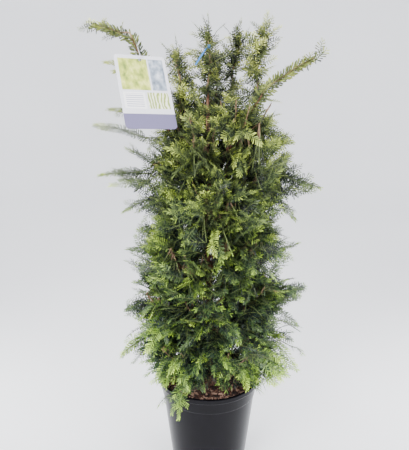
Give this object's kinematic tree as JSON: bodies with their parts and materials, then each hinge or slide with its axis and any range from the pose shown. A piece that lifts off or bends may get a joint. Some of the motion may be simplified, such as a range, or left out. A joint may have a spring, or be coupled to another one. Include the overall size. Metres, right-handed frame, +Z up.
{
  "type": "potted yew shrub",
  "caption": "Upright evergreen yew shrub with needle sprays on ascending boughs, in a round tapering nursery pot, with a hanging label card.",
  "frame": {"origin": "centre of the pot's flat underside, which is the plane that the plant stands on", "axes": "+Z up along the pot's axis; +X to the right and -Y towards the viewer when the side with the label card is seen"},
  "size_m": [0.4992, 0.3739, 1.06],
  "materials": {
    "pot": "satin near-black moulded plastic",
    "soil": "rough bark mulch over potting soil",
    "bark": "reddish-brown bark",
    "foliage": "older dark green needles",
    "new_growth": "light green new needles",
    "card": "printed label card",
    "tie": "pale tie",
    "strip": "blue plastic strip"
  },
  "bodies": {
    "root": {"blue_strip": "strip", "bough_high_1": "bark", "bough_high_2": "bark", "bough_high_3": "bark", "bough_high_4": "bark", "bough_low_1": "bark", "bough_low_2": "bark", "bough_low_3": "bark", "bough_low_4": "bark", "bough_low_5": "bark", "bough_middle_1": "bark", "bough_middle_2": "bark", "bough_middle_3": "bark", "bough_middle_4": "bark", "bough_shoot_left": "bark", "bough_shoot_right": "bark", "bough_top_back": "bark", "bough_top_inner": "bark", "bough_top_left": "bark", "bough_top_right": "bark", "bough_upper_1": "bark", "bough_upper_2": "bark", "bough_upper_3": "bark", "bough_upper_4": "bark", "foliage_high_1": "foliage", "foliage_high_2": "foliage", "foliage_high_3": "foliage", "foliage_high_4": "foliage", "foliage_low_1": "new_growth", "foliage_low_2": "new_growth", "foliage_low_3": "new_growth", "foliage_low_4": "new_growth", "foliage_low_5": "new_growth", "foliage_middle_1": "foliage", "foliage_middle_2": "foliage", "foliage_middle_3": "foliage", "foliage_middle_4": "foliage", "foliage_shoot_left": "foliage", "foliage_shoot_right": "foliage", "foliage_skirt_1": "new_growth", "foliage_skirt_2": "new_growth", "foliage_skirt_3": "new_growth", "foliage_skirt_4": "new_growth", "foliage_skirt_5": "new_growth", "foliage_top_back": "foliage", "foliage_top_inner": "foliage", "foliage_top_left": "foliage", "foliage_top_middle": "foliage", "foliage_top_right": "foliage", "foliage_upper_1": "foliage", "foliage_upper_2": "foliage", "foliage_upper_3": "foliage", "foliage_upper_4": "foliage", "label_card": "card", "label_tie": "tie", "pot": "pot", "soil": "soil", "trunk": "bark"}
  },
  "joints": []
}
